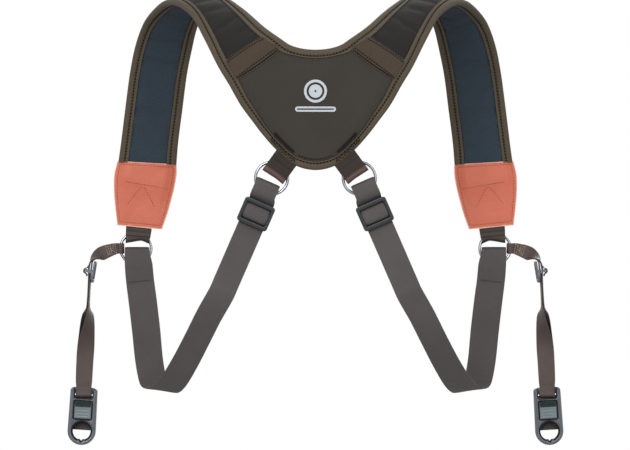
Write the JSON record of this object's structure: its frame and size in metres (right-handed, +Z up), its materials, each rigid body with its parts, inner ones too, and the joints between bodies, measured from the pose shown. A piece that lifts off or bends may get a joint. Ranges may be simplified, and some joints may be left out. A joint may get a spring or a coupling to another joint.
{
  "type": "binocular harness",
  "caption": "Padded shoulder harness for binoculars: back plate, shoulder straps, elastic side straps on steel rings and quick-release connectors.",
  "frame": {"origin": "on the mid-plane at the height where the straps cross the wearer's shoulders", "axes": "+X to the wearer's right, -Y behind the wearer, +Z up"},
  "size_m": [0.4344, 0.1977, 0.3934],
  "materials": {
    "dark_fabric": "matt tightly woven cloth",
    "foam": "closed-cell foam",
    "mesh_lining": "navy air mesh",
    "edge_binding": "olive-brown grosgrain tape",
    "brown_webbing": "ribbed brown webbing",
    "red_brown_webbing": "dark reddish-brown webbing",
    "elastic": "fine-ribbed grey-brown elastic",
    "orange_leather": "soft orange leather, satin",
    "steel_wire": "polished steel wire",
    "steel_bar": "brushed steel",
    "black_plastic": "satin moulded plastic",
    "grey_plastic": "satin moulded plastic",
    "connector_shell": "satin moulded plastic",
    "button": "satin moulded plastic",
    "print": "pale transfer print"
  },
  "bodies": {
    "harness": {"plate_cover": "dark_fabric", "plate_foam": "foam", "plate_lining": "mesh_lining", "plate_binding_lower": "edge_binding", "plate_binding_neck": "edge_binding", "badge_disc": "print", "badge_bar": "print", "strap_cover_left": "dark_fabric", "strap_foam_left": "foam", "strap_lining_left": "mesh_lining", "strap_binding_outer_left": "edge_binding", "strap_binding_neck_left": "edge_binding", "shoulder_band_left": "brown_webbing", "end_cap_left": "orange_leather", "front_ring_tab_left": "brown_webbing", "back_ring_tab_left": "red_brown_webbing", "elastic_strap_left": "elastic", "strap_cover_right": "dark_fabric", "strap_foam_right": "foam", "strap_lining_right": "mesh_lining", "strap_binding_outer_right": "edge_binding", "strap_binding_neck_right": "edge_binding", "shoulder_band_right": "brown_webbing", "end_cap_right": "orange_leather", "front_ring_tab_right": "brown_webbing", "back_ring_tab_right": "red_brown_webbing", "elastic_strap_right": "elastic"},
    "front_ring_left": {"front_ring_left": "steel_wire"},
    "back_ring_left": {"back_ring_left": "steel_wire"},
    "adjuster_left": {"adjuster_left": "black_plastic"},
    "connector_strap_left": {"connector_webbing_left": "red_brown_webbing"},
    "webbing_slider_left": {"webbing_slider_left": "grey_plastic"},
    "connector_left": {"connector_housing_left": "connector_shell", "connector_bar_left": "steel_bar", "button_spring_left": "steel_wire", "connector_tongue_left": "red_brown_webbing"},
    "push_button_left": {"push_button_left": "button"},
    "front_ring_right": {"front_ring_right": "steel_wire"},
    "back_ring_right": {"back_ring_right": "steel_wire"},
    "adjuster_right": {"adjuster_right": "black_plastic"},
    "connector_strap_right": {"connector_webbing_right": "red_brown_webbing"},
    "webbing_slider_right": {"webbing_slider_right": "grey_plastic"},
    "connector_right": {"connector_housing_right": "connector_shell", "connector_bar_right": "steel_bar", "button_spring_right": "steel_wire", "connector_tongue_right": "red_brown_webbing"},
    "push_button_right": {"push_button_right": "button"}
  },
  "joints": [
    {"name": "front_ring_turn_left", "type": "hinge", "parent": "harness", "child": "front_ring_left", "pos_m": [-0.1578, 0.09, -0.212], "axis": [0, 1, 0], "continuous": true},
    {"name": "back_ring_turn_left", "type": "hinge", "parent": "harness", "child": "back_ring_left", "pos_m": [-0.0365, -0.096, -0.1524], "axis": [0, 0.9986, 0.0523], "continuous": true},
    {"name": "adjuster_slide_left", "type": "slide", "parent": "harness", "child": "adjuster_left", "axis": [-0.395, 0.174, -0.902], "range_m": [0, 0.05]},
    {"name": "connector_strap_swing_left", "type": "hinge", "parent": "harness", "child": "connector_strap_left", "pos_m": [-0.1713, 0.09, -0.212], "axis": [0, 0, 1], "range_deg": [-75, 75]},
    {"name": "webbing_slider_slide_left", "type": "slide", "parent": "connector_strap_left", "child": "webbing_slider_left", "axis": [-0.05, -0.06, -0.9969], "range_m": [0, 0.02]},
    {"name": "connector_swing_left", "type": "hinge", "parent": "connector_strap_left", "child": "connector_left", "pos_m": [-0.203, 0.082, -0.3403], "axis": [0.9981, 0, -0.061], "range_deg": [-60, 12]},
    {"name": "push_button_press_left", "type": "slide", "parent": "connector_left", "child": "push_button_left", "axis": [0, 1, 0], "range_m": [0, 0.0016], "stiffness_N_per_m": 400, "springref_m": -0.0015, "deforming": ["button_spring_left"]},
    {"name": "front_ring_turn_right", "type": "hinge", "parent": "harness", "child": "front_ring_right", "pos_m": [0.1578, 0.09, -0.212], "axis": [0, 1, 0], "continuous": true},
    {"name": "back_ring_turn_right", "type": "hinge", "parent": "harness", "child": "back_ring_right", "pos_m": [0.0365, -0.096, -0.1524], "axis": [0, 0.9986, 0.0523], "continuous": true},
    {"name": "adjuster_slide_right", "type": "slide", "parent": "harness", "child": "adjuster_right", "axis": [0.395, 0.174, -0.902], "range_m": [0, 0.05]},
    {"name": "connector_strap_swing_right", "type": "hinge", "parent": "harness", "child": "connector_strap_right", "pos_m": [0.1713, 0.09, -0.212], "axis": [0, 0, -1], "range_deg": [-75, 75]},
    {"name": "webbing_slider_slide_right", "type": "slide", "parent": "connector_strap_right", "child": "webbing_slider_right", "axis": [0.05, -0.06, -0.9969], "range_m": [0, 0.02]},
    {"name": "connector_swing_right", "type": "hinge", "parent": "connector_strap_right", "child": "connector_right", "pos_m": [0.203, 0.082, -0.3403], "axis": [0.9981, 0, 0.061], "range_deg": [-60, 12]},
    {"name": "push_button_press_right", "type": "slide", "parent": "connector_right", "child": "push_button_right", "axis": [0, 1, 0], "range_m": [0, 0.0016], "stiffness_N_per_m": 400, "springref_m": -0.0015, "deforming": ["button_spring_right"]}
  ]
}
